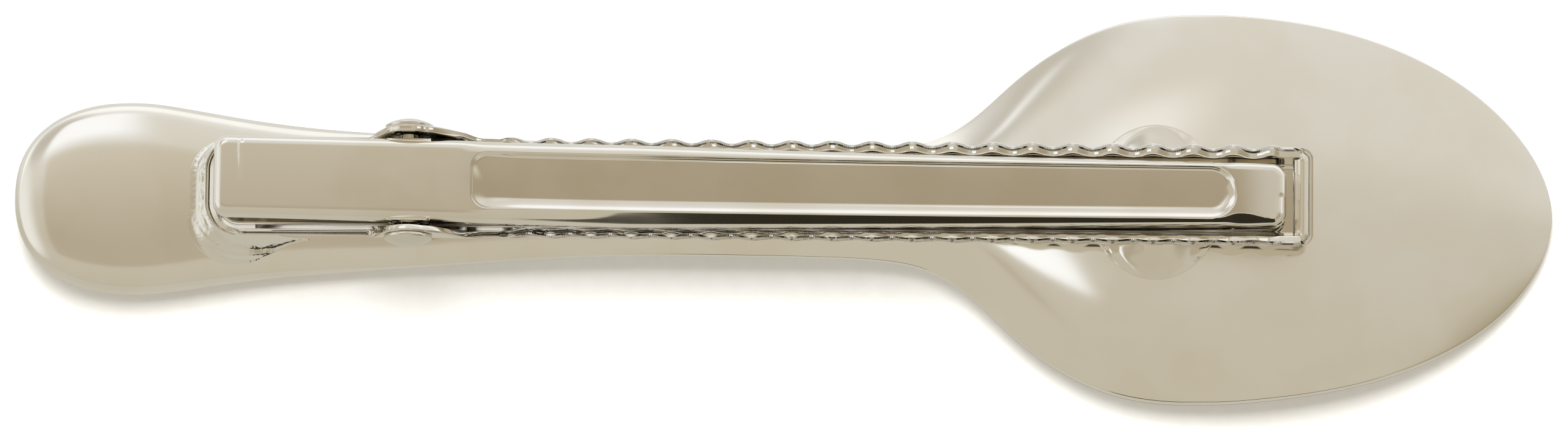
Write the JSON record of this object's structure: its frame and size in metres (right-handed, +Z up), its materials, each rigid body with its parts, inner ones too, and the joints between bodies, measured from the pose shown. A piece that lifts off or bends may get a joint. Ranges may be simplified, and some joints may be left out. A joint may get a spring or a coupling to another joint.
{
  "type": "alligator hair clip",
  "caption": "Sprung alligator hair clip with a toothed tray jaw and an embossed lever, soldered along the convex back of a small polished spoon.",
  "frame": {"origin": "under the middle of the spoon's length, on the surface it rests on with its convex back up", "axes": "+X from the knob to the bowl tip, +Y across the bowl, +Z up out of the convex back that carries the clip"},
  "size_m": [0.105, 0.0272, 0.0103],
  "materials": {
    "spoon_plate": "mirror-polished warm silver plate",
    "clip_plate": "bright nickel plate on pressed steel",
    "rivet_steel": "bright nickel plate, domed heads",
    "spring_steel": "drawn spring wire",
    "solder": "semi-bright solder with crazed margins"
  },
  "bodies": {
    "spoon_body": {"spoon": "spoon_plate", "lower_jaw": "clip_plate", "hinge_rivet": "rivet_steel", "torsion_spring": "spring_steel", "bowl_solder": "solder", "handle_solder": "solder"},
    "lever_body": {"upper_lever": "clip_plate"}
  },
  "joints": [
    {"name": "lever_pivot", "type": "hinge", "parent": "spoon_body", "child": "lever_body", "pos_m": [-0.0255, 0, 0.0079], "axis": [0, -1, 0], "range_deg": [0, 12], "stiffness_Nm_per_rad": 0.03, "springref_deg": -34.38, "deforming": ["torsion_spring"]}
  ]
}
